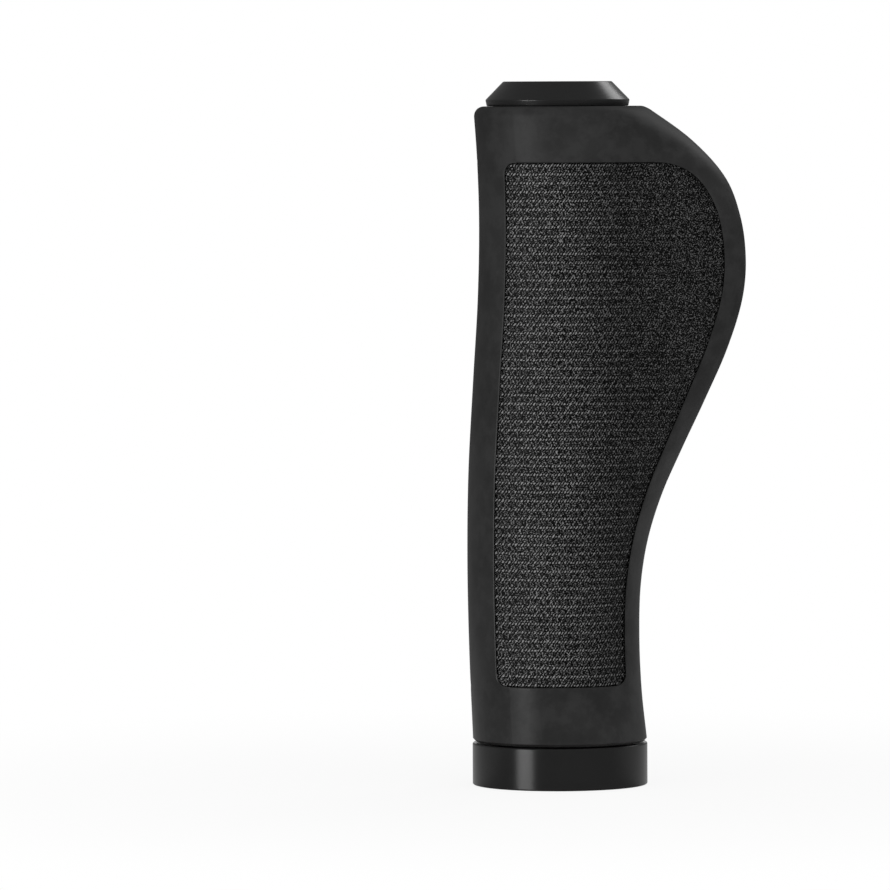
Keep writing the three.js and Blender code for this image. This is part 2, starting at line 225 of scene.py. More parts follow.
front_thickness = outline_curve(FRONT_OUTLINE)
underside_thickness = outline_curve(UNDERSIDE_OUTLINE)
palm_thickness = outline_curve(PALM_OUTLINE)
wing_thickness = outline_curve(WING_OUTLINE)
BARREL_THICKNESS = WING_OUTLINE[0][1]
WIDEST_WING = max(thickness for _, thickness in WING_OUTLINE)


def lerp(a, b, share):
    return a + (b - a) * share


def edge_inset(height, rounding):
    """How far the body's edge is drawn in near its two ends."""
    into_rounding = min(max(height - (RUBBER_HIGH - rounding), 0.0), rounding)
    into_chamfer = max(0.0, RUBBER_LOW + LOW_CHAMFER - height)
    return rounding - math.sqrt(rounding**2 - into_rounding**2) + into_chamfer


def body_at(height, inset=0.0):
    """The body's share of wing, and its reach to the front, underside, palm and wing."""
    share = (height - RUBBER_LOW) / RUBBER_LENGTH
    start = RUBBER_BORE - inset
    edge = edge_inset(height, TOP_ROUNDING)
    wing = (wing_thickness(share) - BARREL_THICKNESS) / (WIDEST_WING - BARREL_THICKNESS)
    return (
        min(max(wing, 0.0), 1.0),
        start + front_thickness(share) - edge,
        start + underside_thickness(share) - edge,
        start + palm_thickness(share) - edge,
        start + wing_thickness(share) - edge_inset(height, SHOULDER_ROUNDING),
    )


# Points along each of the five bends of a section, and the bends of each stretch on
# which an edge is looked for: first and one past the last
BEND_POINTS = 64
UNDER_WING, UNDER_FRONT, PALM_FRONT, PALM_WING = (0, 2), (2, 3), (3, 4), (4, 5)
along_bend = np.arange(BEND_POINTS) / BEND_POINTS
BEND_WEIGHTS = np.stack([
    (1 - along_bend)**3, 3 * along_bend * (1 - along_bend)**2,
    3 * along_bend**2 * (1 - along_bend), along_bend**3,
], axis=1)
SECTION_POINTS = 5 * BEND_POINTS + 1
point_numbers = np.arange(SECTION_POINTS)


def section(height, inset=0.0):
    """One section across the body, from the wing's tip by the underside, the front and
    the palm back to the tip, as rows of x and y."""
    wing, front, underside, palm, reach = body_at(height, inset)
    tip = -TIP_DROP * wing
    palm_lip = lerp(QUARTER_HANDLE * palm, TIP_PALM_ROUND - inset, wing)
    under_lip = lerp(EIGHTH_HANDLE * underside, TIP_UNDER_ROUND - inset, wing)
    angle = math.radians(lerp(ROUND_ROOT_ANGLE, ROOT_ANGLE, wing))
    root_x = lerp(reach * math.sqrt(0.5), underside * ROOT_ACROSS, wing)
    root_y = lerp(underside * math.sqrt(0.5), underside * ROOT_HEIGHT, wing)
    before = lerp(EIGHTH_HANDLE * reach, ROOT_WING_HANDLE, wing)
    after = lerp(EIGHTH_HANDLE, ROOT_BARREL_HANDLE, wing) * underside
    cos, sin = math.cos(angle), math.sin(angle)
    bends = np.array([
        [(reach, tip), (reach, tip + under_lip),
         (root_x - before * cos, root_y - before * sin), (root_x, root_y)],
        [(root_x, root_y), (root_x + after * cos, root_y + after * sin),
         (after, underside), (0, underside)],
        [(0, underside), (-QUARTER_HANDLE * front, underside),
         (-front, QUARTER_HANDLE * underside), (-front, 0)],
        [(-front, 0), (-front, -QUARTER_HANDLE * palm),
         (-QUARTER_HANDLE * front, -palm), (0, -palm)],
        [(0, -palm), (lerp(QUARTER_HANDLE, PALM_FLATNESS, wing) * reach, -palm),
         (reach, tip - palm_lip), (reach, tip)],
    ])
    points = (BEND_WEIGHTS @ bends).reshape(-1, 2)
    return np.vstack([points, bends[-1, -1]])


def at(points, numbers):
    """Points of a section at fractional point numbers."""
    return np.stack([np.interp(numbers, point_numbers, points[:, i]) for i in (0, 1)], axis=1)


def crossing(points, axis, value, bends, sign=1):
    """The fractional point number where x or y passes a value within some bends. Sign is
    -1 where it falls along them."""
    low, high = bends[0] * BEND_POINTS, bends[1] * BEND_POINTS + 1
    return np.interp(sign * value, sign * points[low:high, axis], point_numbers[low:high])


def run_along(points):
    """The distance in mm along a section up to each of its points."""
    return np.concatenate([[0], np.cumsum(np.hypot(*np.diff(points, axis=0).T))])


def corner_shift(distance, corner):
    """How far a rounded corner draws an edge in, at a distance from the corner's end."""
    share = min(max(distance / corner, 0.0), 1.0)
    return corner * (1 - math.sqrt(share))**2


def panel_edges(height, grow):
    """The x of the panel's front and wing edges at a height. Grow widens them for the
    recess. Beyond the panel's two ends the edges run on smoothly."""
    low, high = PANEL_LOW - grow, PANEL_HIGH + grow
    corner, wing_corner = PANEL_CORNER + grow, PANEL_WING_CORNER + grow

    def natural_wing_edge(at_height):
        """The wing edge before its corners, at an even margin along the slope."""
        wing, _, _, _, reach = body_at(at_height)
        rise = body_at(at_height + SLOPE_REACH)[4] - body_at(at_height - SLOPE_REACH)[4]
        slope = rise / (2 * SLOPE_REACH)
        margin = lerp(PANEL_WAIST_MARGIN, PANEL_WING_MARGIN, wing)
        return reach - (margin - grow) * math.hypot(1, slope)

    inside = min(height - low, high - height)
    front = -(body_at(height)[1] - PANEL_FRONT_MARGIN + grow) + corner_shift(inside, corner)
    wing_top = high - wing_corner
    if height < wing_top:
        wing = natural_wing_edge(height) - corner_shift(height - low, corner)
    else:
        start = natural_wing_edge(wing_top)
        pull = natural_wing_edge(high - wing_corner / 2)
        back = np.linspace(1, 0, 60)
        down = wing_corner * (back**3 + 1.5 * (1 - back) * back**2)
        across = (
            back**3 * start + 3 * (1 - back) * back**2 * pull
            + 3 * (1 - back)**2 * back * (start - wing_corner / 2)
            + (1 - back)**3 * (start - WING_CORNER_RUN * wing_corner)
        )
        wing = np.interp(high - min(height, high), down[::-1], across[::-1])
        wing *= body_at(height)[4] / body_at(min(height, high))[4]
    return front, wing


def groove_share(height):
    """The share of a groove's depth at a height, from its rounded lip to its floor."""
    number = round((height - FIRST_GROOVE) / GROOVE_PITCH)
    number = min(max(number, 0), GROOVE_COUNT - 1)
    distance = abs(height - FIRST_GROOVE - number * GROOVE_PITCH)
    return np.interp(distance, *zip(*GROOVE_SHAPE))


# Distances past an edge, inwards, with the share of depth there: from the skin over a
# rounded lip down to the floor
EDGE_STEPS = [(-0.22, 0.0), (-0.1, 0.015), (0.0, 0.06), (0.06, 1.0)]
LIP_SHARES = [share for _, share in EDGE_STEPS[1:-1]]


def edge_share(inside):
    return np.interp(inside, *zip(*EDGE_STEPS))


def spaced(heights, least=0.02):
    """Sorted heights without any that lie closer together than the least distance."""
    kept = []
    for height in sorted(heights):
        if not kept or height - kept[-1] >= least:
            kept.append(height)
    return kept


def skin_heights():
    """Heights of the rows on the body's skin: both ends, each groove and the recess."""
    heights = [RUBBER_LOW + step for step in (0.0, 0.1, 0.25, 0.5, 0.62)]
    heights += list(np.linspace(RUBBER_LOW + 1.4, FIELD_LOW - FIELD_MARGIN, 8))
    heights += list(
        np.linspace(FIELD_HIGH + FIELD_MARGIN, RUBBER_HIGH - TOP_ROUNDING - 0.2, 7)
    )
    turns = np.linspace(0, math.pi / 2, 10)
    heights += list(RUBBER_HIGH - TOP_ROUNDING + TOP_ROUNDING * np.sin(turns))
    for number in range(GROOVE_COUNT):
        middle = FIRST_GROOVE + number * GROOVE_PITCH
        for distance, _ in GROOVE_SHAPE[1:]:
            heights += [middle - distance, middle + distance]
    low, high = PANEL_LOW - PIECE_GAP, PANEL_HIGH + PIECE_GAP
    for inside, _ in EDGE_STEPS:
        heights += [low + inside, high - inside]
    corner = PANEL_CORNER + PIECE_GAP
    for step in np.linspace(0.2, 1, 6):
        heights += [low + corner * step**2, high - corner * step**2]
    return spaced(heights)


# Mesh helpers

def lifted(flat, height):
    """Rows of x and y with a height as their z."""
    return np.column_stack([flat, np.full(len(flat), height)])


def folded_grid(rows, close_rows=False):
    """A closed mesh from rows of points in mm, each row running once round: a grid whose
    points are moved into place and whose seams are then merged."""
    rows = np.array(rows)
    if close_rows:
        rows = np.concatenate([rows, rows[:1]])
    down, across = rows.shape[0] - 1, rows.shape[1] - 1
    mesh = bmesh.new()
    bmesh.ops.create_grid(mesh, x_segments=across, y_segments=down, size=0.5)
    for vertex in mesh.verts:
        column = round((vertex.co.x + 0.5) * across)
        row = round((vertex.co.y + 0.5) * down)
        vertex.co = rows[row, column] * MM
    bmesh.ops.remove_doubles(mesh, verts=mesh.verts, dist=MERGE_DISTANCE)
    return mesh


def turned(outline, steps, close=True):
    """A mesh turned about Z from an outline of radius and height in mm. An outline that
    isn't closed starts and ends on the axis."""
    mesh = bmesh.new()
    verts = [mesh.verts.new((radius * MM, 0, height * MM)) for radius, height in outline]
    pairs = list(zip(verts, verts[1:] + verts[:1])) if close else list(zip(verts, verts[1:]))
    edges = [mesh.edges.new(pair) for pair in pairs]
    bmesh.ops.spin(
        mesh, geom=verts + edges, cent=(0, 0, 0), axis=(0, 0, 1), dvec=(0, 0, 0),
        angle=2 * math.pi, steps=steps, use_merge=True,
    )
    bmesh.ops.remove_doubles(mesh, verts=mesh.verts, dist=MERGE_DISTANCE)
    bmesh.ops.recalc_face_normals(mesh, faces=mesh.faces)
    return mesh


def soften(mesh, width, segments=2, least_angle=25):
    """Rounds every edge of a mesh that is sharper than the least angle, width in mm."""
    sharp = [
        edge for edge in mesh.edges
        if len(edge.link_faces) == 2 and edge.calc_face_angle(0) > math.radians(least_angle)
    ]
    bmesh.ops.bevel(
        mesh, geom=sharp, affect="EDGES", offset=width * MM, offset_type="OFFSET",
        segments=segments, profile=0.5, material=-1, clamp_overlap=True,
    )


def in_scene(name, mesh):
    """An object in the scene that takes over a mesh."""
    data = bpy.data.meshes.new(name)
    mesh.to_mesh(data)
    mesh.free()
    piece = bpy.data.objects.new(name, data)
    scene.collection.objects.link(piece)
    return piece


def finished(name, mesh, material, sharp_angle):
    """A piece from a mesh, smooth but for edges above the sharp angle, in degrees. Its
    large faces set the normals, so that they stay flat beside rounded edges."""
    bmesh.ops.recalc_face_normals(mesh, faces=mesh.faces)
    piece = in_scene(name, mesh)
    piece.data.shade_smooth()
    piece.data.set_sharp_from_angle(angle=math.radians(sharp_angle))
    piece.data.materials.append(material)
    normals = piece.modifiers.new("normals", "WEIGHTED_NORMAL")
    normals.keep_sharp = True
    return piece


def carve(mesh, cutters):
    """A mesh with the cutters' meshes taken out of it."""
    blank = in_scene("rough", mesh)
    tools = [in_scene("rough", tool) for tool in cutters]
    for tool in tools:
        cut = blank.modifiers.new("cut", "BOOLEAN")
        cut.operation = "DIFFERENCE"
        cut.solver = "EXACT"
        cut.object = tool
    bpy.context.view_layer.update()
    result = bmesh.new()
    result.from_object(blank, bpy.context.evaluated_depsgraph_get())
    for piece in [blank, *tools]:
        bpy.data.objects.remove(piece)
    bmesh.ops.remove_doubles(result, verts=result.verts, dist=MERGE_DISTANCE)
    return result


def block(size, centre):
    """A box in mm for a cut."""
    mesh = bmesh.new()
    place = Matrix.Translation(Vector(centre) * MM)
    bmesh.ops.create_cube(mesh, size=MM, matrix=place @ Matrix.Diagonal((*size, 1)))
    return mesh


def rod(radius, start, end, segments=64):
    """A cylinder in mm along X on the screw's line, between two x."""
    mesh = bmesh.new()
    place = Matrix.Translation(Vector(((start + end) / 2, SCREW_LINE, RING_LENGTH / 2)) * MM)
    bmesh.ops.create_cone(
        mesh, cap_ends=True, segments=segments, radius1=radius * MM, radius2=radius * MM,
        depth=(end - start) * MM, matrix=place @ Matrix.Rotation(math.pi / 2, 4, "Y"),
    )
    return mesh


def sector(inner, outer, middle, half, low, high):
    """A piece of a ring in mm between two radii and two heights, with its middle angle
    and half of its width in radians."""
    mesh = bmesh.new()
    corners = [(inner, low), (outer, low), (outer, high), (inner, high)]
    start = Matrix.Rotation(middle - half, 3, "Z")
    verts = [mesh.verts.new(start @ Vector((r, 0, h)) * MM) for r, h in corners]
    face = mesh.faces.new(verts)
    bmesh.ops.spin(
        mesh, geom=[face], cent=(0, 0, 0), axis=(0, 0, 1), dvec=(0, 0, 0),
        angle=2 * half, steps=10, use_merge=False,
    )
    bmesh.ops.recalc_face_normals(mesh, faces=mesh.faces)
    return mesh


# Node maths

class Value:
    """An output of a node, on which arithmetic adds Math nodes."""

    def __init__(self, nodes, output):
        self.nodes = nodes
        self.output = output

    def math(self, operation, *others, first=None, clamp=False):
        values = [self if first is None else first, *others]
        settings = {"operation": operation, "use_clamp": clamp}
        return self.nodes.add("ShaderNodeMath", settings, dict(enumerate(values)))

    def __add__(self, other):
        return self.math("ADD", other)

    __radd__ = __add__

    def __sub__(self, other):
        return self.math("SUBTRACT", other)

    def __rsub__(self, other):
        return self.math("SUBTRACT", self, first=other)

    def __mul__(self, other):
        return self.math("MULTIPLY", other)

    def __truediv__(self, other):
        return self.math("DIVIDE", other)

    def __pow__(self, other):
        return self.math("POWER", other)

    def clamped(self):
        return self.math("ADD", 0.0, clamp=True)

    def wave(self):
        """A wave between -1 and 1 that repeats once for each whole number."""
        return (self * (2 * math.pi)).math("COSINE")

    def most(self, other):
        return self.math("MAXIMUM", other)

    def ramp(self, start, end):
        """0 at the start and 1 at the end, smoothly between."""
        return self.nodes.add(
            "ShaderNodeMapRange", {"interpolation_type": "SMOOTHSTEP"},
            {"Value": self, "From Min": start, "From Max": end},
        )


class Nodes:
    """A node tree that is being filled."""

    def __init__(self, tree):
        self.tree = tree

    def add(self, kind, settings=None, inputs=None, output=0):
        """A node of a kind with its settings, then the values or links of its sockets."""
        node = self.tree.nodes.new(kind)
        for name, value in (settings or {}).items():
            setattr(node, name, value)
        for key, value in (inputs or {}).items():
            if isinstance(value, Value):
                self.tree.links.new(value.output, node.inputs[key])
            else:
                node.inputs[key].default_value = value
        return Value(self, node.outputs[output])

    def mix(self, factor, first, second):
        """A colour between two colours."""
        return self.add(
            "ShaderNodeMix", {"data_type": "RGBA"}, {0: factor, 6: first, 7: second}, 2,
        )


class Finish(Nodes):
    """A material with one Principled shader."""

    def __init__(self, name, **plain):
        self.material = bpy.data.materials.new(name)
        self.material.use_nodes = True
        super().__init__(self.material.node_tree)
        self.shader = self.tree.nodes["Principled BSDF"]
        for key, value in plain.items():
            self.shader.inputs[key.replace("_", " ")].default_value = value
        self.place = self.add("ShaderNodeTexCoord", output="Object")

    def axes(self):
        """The place's x, y and z in mm."""
        split = self.tree.nodes.new("ShaderNodeSeparateXYZ")
        self.tree.links.new(self.place.output, split.inputs[0])
        return [Value(self, out) * (1 / MM) for out in split.outputs]

    def feed(self, **links):
        for key, value in links.items():
            self.tree.links.new(value.output, self.shader.inputs[key.replace("_", " ")])

    def noise(self, scale, detail=2.0, roughness=0.5, place=None):
        return self.add("ShaderNodeTexNoise", {}, {
            "Vector": place or self.place, "Scale": scale, "Detail": detail,
            "Roughness": roughness,
        })

    def streaks(self, scales):
        """Noise with a scale of its own along each axis."""
        stretched = self.add(
            "ShaderNodeMapping", {}, {"Vector": self.place, "Scale": scales},
        )
        return self.noise(1.0, place=stretched)

    def bump(self, height, distance, strength):
        """A normal from a height from 0 to 1, with its distance in mm."""
        return self.add("ShaderNodeBump", {}, {
            "Height": height, "Distance": distance * MM, "Strength": strength,
        })


def grey(level):
    return (level, level, level, 1.0)


# Finishes

def rubber_finish():
    """Soft matte black rubber with a fine grain and faint cloudy smudges, duller towards
    the cap."""
    finish = Finish("rubber", Specular_IOR_Level=0.2)
    cloud = finish.noise(55.0, 5.0, 0.6)
    smudge = finish.noise(260.0, 4.0, 0.65)
    grain = finish.noise(5200.0)
    tone = (cloud.ramp(0.4, 0.62) * 0.5 + smudge.ramp(0.42, 0.62) * 0.5).clamped()
    _, _, z = finish.axes()
    dull = z.ramp(20.0, 110.0) * 0.19
    finish.feed(
        Base_Color=finish.mix(tone, grey(0.019), grey(0.032)),
        Roughness=0.27 + dull + smudge * 0.1 + grain * 0.05,
        Normal=finish.bump(grain, 0.02, 0.35),
    )
    return finish.material


def panel_finish():
    """Woven-look rubber: crossing waves that meet in a dot at each stitch of a row, over fine
    pits. Its colour follows the relief: the dots' light grey is partly the weave's own pattern
    and partly painted highlight, and the pits' near black is painted shade. Towards the wing
    the weave breaks up into the pits alone, which fades the dots as painted shade, and a
    painted shade darkens the whole weave there."""
    finish = Finish("panel", Specular_IOR_Level=0.12)
    x, _, z = finish.axes()
    wander = finish.noise(700.0) - 0.5
    stitch = (x + x * x * WING_TIGHTENING) / WEAVE_STITCH + wander * 0.3
    row = z / WEAVE_ROW + wander * 0.1
    weave = sum(
        (stitch * per_stitch - row * per_row).wave() * share
        for per_stitch, per_row, share in THREADS
    )
    patch = finish.noise(130.0, 3.0, 0.6)
    # Towards the wing the weave breaks up into more pits and less weave; in the colour this fades
    # the stitch dots there as painted shade
    weave_breakup_and_painted_fade = (x + (z - 90.0) * 0.1 + (patch - 0.5) * 12.0).ramp(3.0, 27.0)
    pits = finish.noise(4700.0, 0.5) - 0.5
    relief = (0.34 + weave * (1.2 - weave_breakup_and_painted_fade * 0.75) + pits * (2.8 + weave_breakup_and_painted_fade * 1.2)).clamped()
    # Painted shade: the weave's colour darkens towards the wing, by up to 0.62
    painted_wing_shade = 1.0 - x.ramp(-3.0, 14.0) * 0.62
    # Colour from the relief: light stitch dots, partly pattern and partly painted highlight, over
    # near-black pits that are painted shade
    tone = (relief ** 2.3 * painted_wing_shade * (0.8 + patch * 0.4)).clamped()
    finish.feed(
        Base_Color=finish.mix(tone, grey(0.0005), grey(0.28)),
        Roughness=0.55 - tone * 0.15,
        Normal=finish.bump(relief, 0.2, 1.0),
    )
    return finish.material


def ring_finish():
    """Satin black anodising with faint turning marks."""
    finish = Finish(
        "ring", Specular_IOR_Level=0.4, Anisotropic=0.8, Anisotropic_Rotation=0.25,
    )
    marks = finish.streaks((40, 40, 9000))
    wear = finish.noise(180.0, 4.0, 0.6)
    finish.feed(
        Base_Color=finish.mix(wear, grey(0.01), grey(0.014)),
        Roughness=0.24 + wear * 0.06 + marks * 0.04,
        Normal=finish.bump(marks, 0.004, 0.4),
    )
    return finish.material


def cap_finish():
    """Gloss black moulded plastic."""
    finish = Finish("cap", Specular_IOR_Level=0.45)
    flow = finish.noise(120.0, 4.0, 0.6)
    grain = finish.noise(3800.0)
    finish.feed(
        Base_Color=finish.mix(flow, grey(0.011), grey(0.015)),
        Roughness=0.22 + flow * 0.08,
        Normal=finish.bump(grain, 0.004, 0.3),
    )
    return finish.material


def core_finish():
    """Moulded black plastic with a light matte texture."""
    finish = Finish("core", Specular_IOR_Level=0.4)
    grain = finish.noise(2600.0, 3.0)
    flow = finish.noise(90.0, 3.0)
    finish.feed(
        Base_Color=finish.mix(flow, grey(0.01), grey(0.015)),
        Roughness=0.5 + grain * 0.12,
        Normal=finish.bump(grain, 0.01, 0.4),
    )
    return finish.material


def screw_finish():
    """Bright satin steel with fine turning scratches."""
    finish = Finish("screw", Metallic=0.6)
    scratch = finish.streaks((900, 9000, 9000))
    finish.feed(
        Base_Color=finish.mix(scratch, grey(0.8), grey(0.95)),
        Roughness=0.3 + scratch * 0.1,
        Normal=finish.bump(scratch, 0.004, 0.3),
    )
    return finish.material


# Pieces

def column_shares(stretches):
    """A share of depth for each column of a row. A stretch is a number of cells and its
    own share, and between two stretches come the columns of the lip."""
    shares = []
    for number, (cells, share) in enumerate(stretches):
        if number:
            before = stretches[number - 1][1]
            lip = LIP_SHARES if share > before else LIP_SHARES[::-1]
            shares += [lip_share * max(share, before) for lip_share in lip]
        shares += [share] * (cells + 1)
    return np.array(shares)


def edge_marks(skin, sunk, axis, edge, inwards, bends, sign=1):
    """Point numbers of an edge's columns, from the lip on the skin to the foot on the sunk
    surface. Inwards is 1 or -1, the way that x or y runs on from the edge."""
    surfaces = [skin] * (len(EDGE_STEPS) - 1) + [sunk]
    return [
        crossing(surface, axis, edge + inwards * inside, bends, sign)
        for (inside, _), surface in zip(EDGE_STEPS, surfaces)
    ]


def rubber_body():
    """The moulded rubber: skin with grooves and recess, rounded top, bore and low end.
    Columns follow the groove field's edges and the recess's edges in every row."""
    cells = [30, 46, 12, 20, 16]
    groove_columns = column_shares(list(zip(cells, [0, 1, 0, 0, 0])))
    recess_columns = column_shares(list(zip(cells, [0, 0, 0, 1, 0])))
    rows = []
    for height in skin_heights():
        skin = section(height)
        groove_floor = section(height, GROOVE_DEPTH)
        recess_floor = section(height, RECESS_DEPTH)
        field = FIELD_EDGE + corner_shift(
            min(height - FIELD_LOW, FIELD_HIGH - height), FIELD_CORNER,
        )
        groove = groove_share(height)
        recess = edge_share(min(
            height - (PANEL_LOW - PIECE_GAP), PANEL_HIGH + PIECE_GAP - height,
        ))
        front, wing = panel_edges(height, PIECE_GAP)
        in_groove = skin + groove * (groove_floor - skin)
        in_recess = skin + recess * (recess_floor - skin)
        edges = [
            edge_marks(skin, in_groove, 1, field, 1, UNDER_WING),
            edge_marks(skin, in_groove, 1, field, 1, UNDER_FRONT, -1)[::-1],
            edge_marks(skin, in_recess, 0, front, 1, PALM_FRONT),
            edge_marks(skin, in_recess, 0, wing, -1, PALM_WING)[::-1],
        ]
        run = run_along(skin)
        marks = [[0.0], *(np.interp(edge, point_numbers, run) for edge in edges), [run[-1]]]
        columns = []
        for number, count in enumerate(cells):
            columns += list(np.linspace(marks[number][-1], marks[number + 1][0], count + 1))
            columns += list(marks[number + 1][1:-1])
        places = np.interp(columns, run, point_numbers)
        base = at(skin, places)
        to_groove_floor = at(groove_floor, places) - base
        to_recess_floor = at(recess_floor, places) - base
        into_groove = np.minimum(groove_columns, groove)[:, None] * to_groove_floor
        into_recess = np.minimum(recess_columns, recess)[:, None] * to_recess_floor
        rows.append(lifted(base + into_groove + into_recess, height))
    turns = [np.unwrap(np.arctan2(end[:, 1], end[:, 0])) for end in (rows[-1], rows[0])]
    for share in (0.0, 0.25, 0.5, 0.75, 1.0):
        turn = lerp(*turns, share)
        bore = np.column_stack([RUBBER_BORE * np.cos(turn), RUBBER_BORE * np.sin(turn)])
        rows.append(lifted(bore, lerp(RUBBER_HIGH, RUBBER_LOW, share)))
    mesh = folded_grid(rows, close_rows=True)
    return finished("rubber_body_skin", mesh, rubber_finish(), sharp_angle=42)


def palm_panel():
    """The woven panel: a thin shell with rounded edges whose face has rows of relief."""
    face_cells, back_cells = 120, 12
    low, high = PANEL_LOW - PANEL_REACH, PANEL_HIGH + PANEL_REACH
    heights = list(np.linspace(low, high, PANEL_ROWS))
    for step in np.linspace(0, 1, 9):
        heights += [low + PANEL_CORNER * step**2, high - PANEL_CORNER * step**2]
    uneven = np.random.RandomState(7)
    rows = []
    for height in spaced(heights, 0.03):
        front, wing = panel_edges(height, PANEL_REACH)
        end = min(height - low, high - height)
        roll = PANEL_ROLL * (1 - min(end / PANEL_ROLL_REACH, 1.0))**2
        face = section(height, PANEL_STEP)
        back = section(height, PANEL_STEP + PANEL_THICKNESS)
        shoulder = section(height, PANEL_STEP + PANEL_SHOULDER)
        ends = [
            crossing(face, 0, front + PANEL_ROUNDING, PALM_FRONT),
            crossing(face, 0, wing - PANEL_ROUNDING, PALM_WING),
        ]
        run = run_along(face)
        span = np.linspace(*np.interp(ends, point_numbers, run), face_cells + 1)
        places = np.interp(span, run, point_numbers)
        top = at(face, places)
        inward = (at(back, places) - top) / PANEL_THICKNESS
        wave = 0.5 - 0.5 * math.cos(2 * math.pi * height / WEAVE_ROW)
        depth = WEAVE_RELIEF * wave + roll + PANEL_UNEVENNESS * uneven.rand(face_cells + 1)
        depth[[0, -1]] = roll
        top = top + inward * depth[:, None]
        front_shoulder = at(shoulder, [crossing(shoulder, 0, front, PALM_FRONT)])
        wing_shoulder = at(shoulder, [crossing(shoulder, 0, wing, PALM_WING)])
        back_span = np.linspace(
            crossing(back, 0, wing, PALM_WING), crossing(back, 0, front, PALM_FRONT),
            back_cells + 1,
        )
        loop = np.vstack([front_shoulder, top, wing_shoulder, at(back, back_span), front_shoulder])
        rows.append(lifted(loop, height))
    mesh = folded_grid(rows)
    open_edges = [edge for edge in mesh.edges if len(edge.link_faces) == 1]
    bmesh.ops.holes_fill(mesh, edges=open_edges, sides=0)
    return finished("palm_panel_weave", mesh, panel_finish(), sharp_angle=50)


def clamp_ring():
    """The split ring, cut for its slit, the screw, the screw's head and the lugs."""
    ring = turned([
        (BORE_RADIUS, 0), (RING_RADIUS, 0), (RING_RADIUS, RING_LENGTH), (BORE_RADIUS, RING_LENGTH),
    ], steps=180)
    soften(ring, RING_EDGE, segments=3)
    half = (LUG_WIDTH + 2 * PIECE_GAP) / 2 / (SLEEVE_RADIUS + PIECE_GAP)
    pockets = [
        sector(
            BORE_RADIUS - OVERCUT, SLEEVE_RADIUS + PIECE_GAP, math.radians(angle), half,
            RUBBER_LOW - LUG_LENGTH - PIECE_GAP, RING_LENGTH + OVERCUT,
        )
        for angle in LUG_ANGLES
    ]
    cut = carve(ring, [
        block(
            (SLIT_WIDTH, SLIT_REACH, 2 * RING_LENGTH),
            (-SLIT_OFFSET, SLIT_MIDDLE, RING_LENGTH / 2),
        ),
        rod(SCREW_HOLE, -HEAD_SEAT - OVERCUT, SHANK_LENGTH - HEAD_SEAT + PIECE_GAP),
        rod(HEAD_RADIUS + HEAD_CLEARANCE, -2 * RING_RADIUS, PIECE_GAP - HEAD_SEAT, 96),
        *pockets,
    ])
    soften(cut, RING_CUT_EDGE, least_angle=40)
    return finished("clamp_ring_satin", cut, ring_finish(), sharp_angle=30)


def clamp_screw():
    """The screw along X: threaded shank, head with a rounded edge and a hex socket."""
    around, per_turn = 40, 6
    turns = np.linspace(0, 2 * math.pi, around + 1)

    def turned_row(along, radius):
        """One row round the screw, from its place along the axis and its radius."""
        return np.column_stack([
            np.full(len(turns), along), radius * np.cos(turns), radius * np.sin(turns),
        ])

    end = [(-SHANK_LENGTH, 0.0), (-SHANK_LENGTH, 0.75), (-SHANK_LENGTH + 0.2, 0.88)]
    rows = [turned_row(*place) for place in end]
    threaded = SHANK_LENGTH - THREAD_START - THREAD_END
    for step in np.arange(0, threaded, THREAD_PITCH / per_turn):
        along = -SHANK_LENGTH + THREAD_START + step
        phase = np.abs(((along / THREAD_PITCH - turns / (2 * math.pi)) % 1.0) - 0.5) * 2
        depth = THREAD_DEPTH * np.clip(1.25 * phase - 0.1, 0, 1)
        rows.append(turned_row(along, SCREW_RADIUS - depth))
    head = [
        (-0.3, SCREW_RADIUS), (0.0, SCREW_RADIUS + 0.05), (0.0, HEAD_RADIUS - 0.08),
        (0.08, HEAD_RADIUS), (HEAD_LENGTH - 0.3, HEAD_RADIUS),
        (HEAD_LENGTH - 0.18, HEAD_RADIUS - 0.03), (HEAD_LENGTH - 0.07, HEAD_RADIUS - 0.11),
        (HEAD_LENGTH, HEAD_RADIUS - 0.26), (HEAD_LENGTH, 0.0),
    ]
    rows += [turned_row(*place) for place in head]
    mesh = folded_grid(rows)
    bmesh.ops.recalc_face_normals(mesh, faces=mesh.faces)
    socket = bmesh.new()
    bmesh.ops.create_cone(
        socket, cap_ends=True, segments=6, depth=2 * HEX_DEPTH * MM,
        radius1=HEX_RADIUS * MM, radius2=HEX_RADIUS * MM,
        matrix=Matrix.Translation((HEAD_LENGTH * MM, 0, 0)) @ Matrix.Rotation(math.pi / 2, 4, "Y"),
    )
    mesh = carve(mesh, [socket])
    lay = Matrix.Translation(Vector((-HEAD_SEAT, SCREW_LINE, RING_LENGTH / 2)) * MM)
    bmesh.ops.transform(mesh, matrix=lay @ Matrix.Rotation(math.pi, 4, "Z"), verts=mesh.verts)
    return finished("clamp_screw_steel", mesh, screw_finish(), sharp_angle=35)


